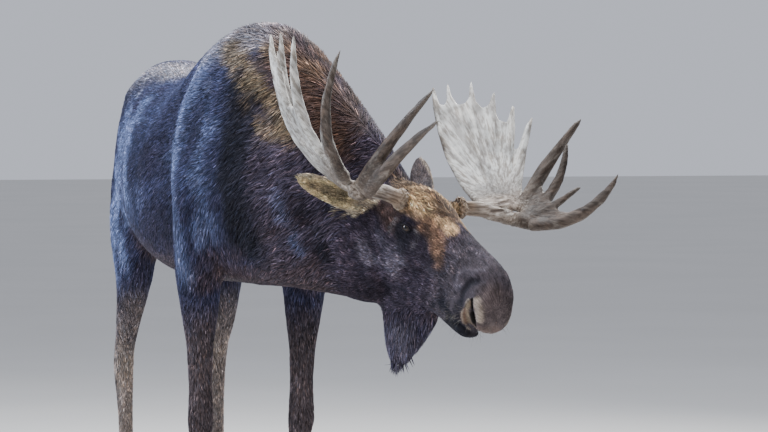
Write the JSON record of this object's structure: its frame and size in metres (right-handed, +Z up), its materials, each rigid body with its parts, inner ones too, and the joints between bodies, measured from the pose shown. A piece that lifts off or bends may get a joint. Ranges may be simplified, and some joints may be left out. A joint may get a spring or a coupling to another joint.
{
  "type": "bull moose",
  "caption": "Life-size standing bull moose with lowered head turned to its left and broad palmate antlers, a still museum-style animal model",
  "frame": {"origin": "centre of the bounding box in plan, on the floor under the hooves", "axes": "+Z up, the trunk points along -Y, the animal's left is +X"},
  "size_m": [1.2796, 2.905, 1.869],
  "materials": {
    "hide": "thick dark brown coat, tan on the hump and crest, golden on the forehead, grey on the lower legs",
    "hoof_horn": "dull dark horn, worn paler at the edge",
    "antler_bone": "dry bone: pale palms with grey streaks, tan tines, ribbed and pearled burr",
    "eye": "wet dark brown eye"
  },
  "bodies": {
    "root": {"trunk": "hide", "neck": "hide", "head": "hide", "tail": "hide", "bell": "hide", "ear_left": "hide", "ear_right": "hide", "front_left_upper_leg": "hide", "front_left_lower_leg": "hide", "front_right_upper_leg": "hide", "front_right_lower_leg": "hide", "hind_left_upper_leg": "hide", "hind_left_lower_leg": "hide", "hind_right_upper_leg": "hide", "hind_right_lower_leg": "hide", "front_left_outer_hoof": "hoof_horn", "front_left_inner_hoof": "hoof_horn", "front_right_outer_hoof": "hoof_horn", "front_right_inner_hoof": "hoof_horn", "hind_left_outer_hoof": "hoof_horn", "hind_left_inner_hoof": "hoof_horn", "hind_right_outer_hoof": "hoof_horn", "hind_right_inner_hoof": "hoof_horn", "front_left_outer_dewclaw": "hoof_horn", "front_left_inner_dewclaw": "hoof_horn", "front_right_outer_dewclaw": "hoof_horn", "front_right_inner_dewclaw": "hoof_horn", "hind_left_outer_dewclaw": "hoof_horn", "hind_left_inner_dewclaw": "hoof_horn", "hind_right_outer_dewclaw": "hoof_horn", "hind_right_inner_dewclaw": "hoof_horn", "antler_left_beam": "antler_bone", "antler_left_palm": "antler_bone", "antler_left_brow": "antler_bone", "antler_right_beam": "antler_bone", "antler_right_palm": "antler_bone", "antler_right_brow": "antler_bone", "eye_left": "eye", "eye_right": "eye"}
  },
  "joints": []
}
